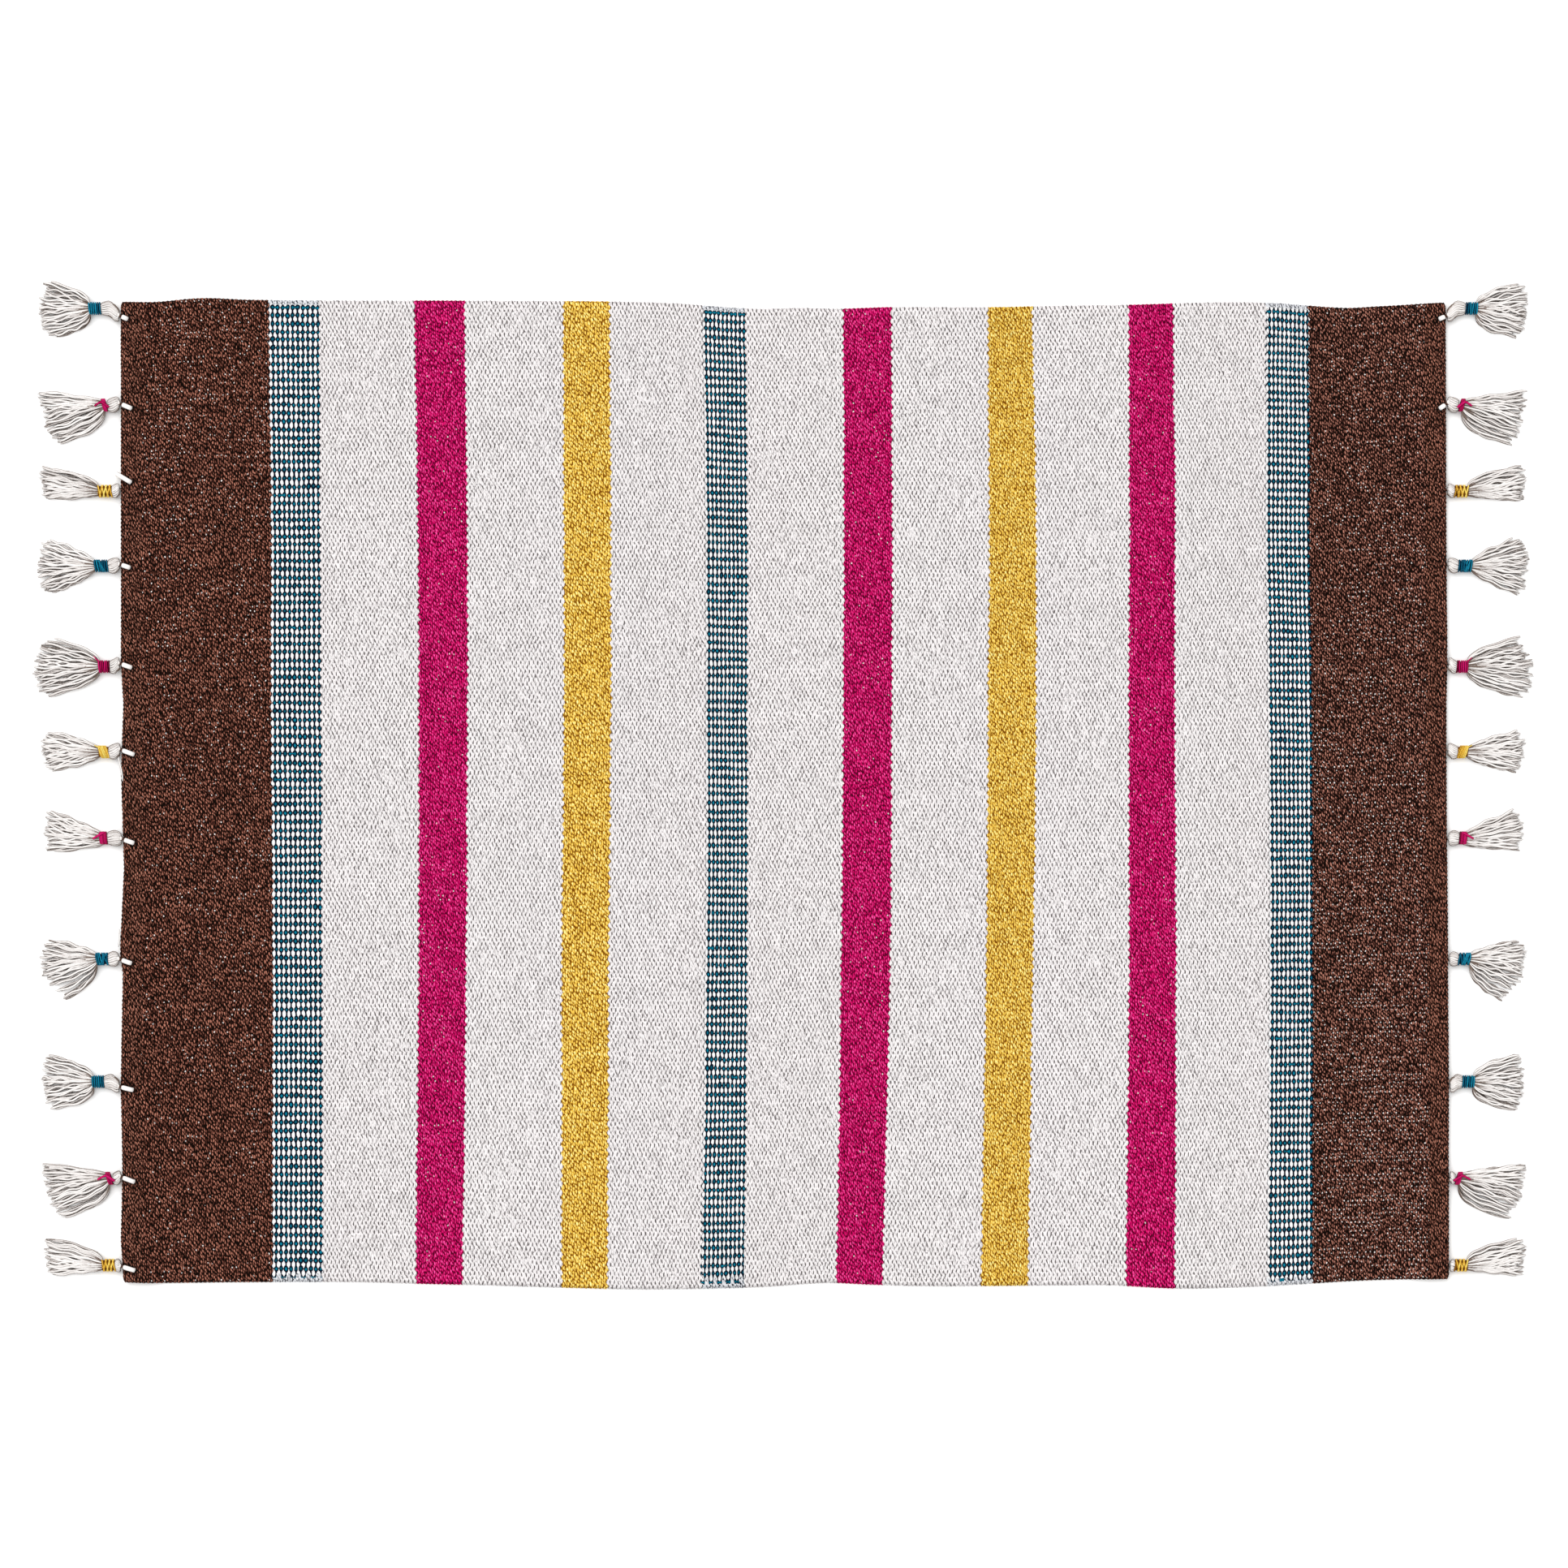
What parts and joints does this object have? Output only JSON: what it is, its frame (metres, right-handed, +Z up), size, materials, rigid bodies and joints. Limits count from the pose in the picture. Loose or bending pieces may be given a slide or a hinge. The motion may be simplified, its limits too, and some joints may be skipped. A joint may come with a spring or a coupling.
{
  "type": "flat-woven tasselled cotton rug",
  "caption": "Flat rectangular striped floor rug in a plain weave, with hemmed short ends and bound tassels hanging from cords through the hems.",
  "frame": {"origin": "on the surface that the rug lies on, under the middle of its whole outline, tassels included", "axes": "+X along the rug's length towards one tasselled end, +Y across it towards a long edge, +Z up, away from the surface"},
  "size_m": [0.925, 0.6209, 0.0079],
  "materials": {
    "woven_cloth": "matte weft-faced plain weave in stripes of off-white, brown, teal and white, magenta and mustard",
    "tassel_yarn": "matte off-white twisted cotton yarn",
    "teal_thread": "slightly glossy teal embroidery thread",
    "magenta_thread": "slightly glossy magenta embroidery thread",
    "mustard_thread": "slightly glossy mustard yellow embroidery thread"
  },
  "bodies": {
    "root": {"rug": "woven_cloth", "tassel_left_01": "tassel_yarn", "binding_left_01": "teal_thread", "tassel_left_02": "tassel_yarn", "binding_left_02": "magenta_thread", "tassel_left_03": "tassel_yarn", "binding_left_03": "mustard_thread", "tassel_left_04": "tassel_yarn", "binding_left_04": "teal_thread", "tassel_left_05": "tassel_yarn", "binding_left_05": "magenta_thread", "tassel_left_06": "tassel_yarn", "binding_left_06": "mustard_thread", "tassel_left_07": "tassel_yarn", "binding_left_07": "magenta_thread", "tassel_left_08": "tassel_yarn", "binding_left_08": "teal_thread", "tassel_left_09": "tassel_yarn", "binding_left_09": "teal_thread", "tassel_left_10": "tassel_yarn", "binding_left_10": "magenta_thread", "tassel_left_11": "tassel_yarn", "binding_left_11": "mustard_thread", "tassel_right_01": "tassel_yarn", "binding_right_01": "teal_thread", "tassel_right_02": "tassel_yarn", "binding_right_02": "magenta_thread", "tassel_right_03": "tassel_yarn", "binding_right_03": "mustard_thread", "tassel_right_04": "tassel_yarn", "binding_right_04": "teal_thread", "tassel_right_05": "tassel_yarn", "binding_right_05": "magenta_thread", "tassel_right_06": "tassel_yarn", "binding_right_06": "mustard_thread", "tassel_right_07": "tassel_yarn", "binding_right_07": "magenta_thread", "tassel_right_08": "tassel_yarn", "binding_right_08": "teal_thread", "tassel_right_09": "tassel_yarn", "binding_right_09": "teal_thread", "tassel_right_10": "tassel_yarn", "binding_right_10": "magenta_thread", "tassel_right_11": "tassel_yarn", "binding_right_11": "mustard_thread"}
  },
  "joints": []
}
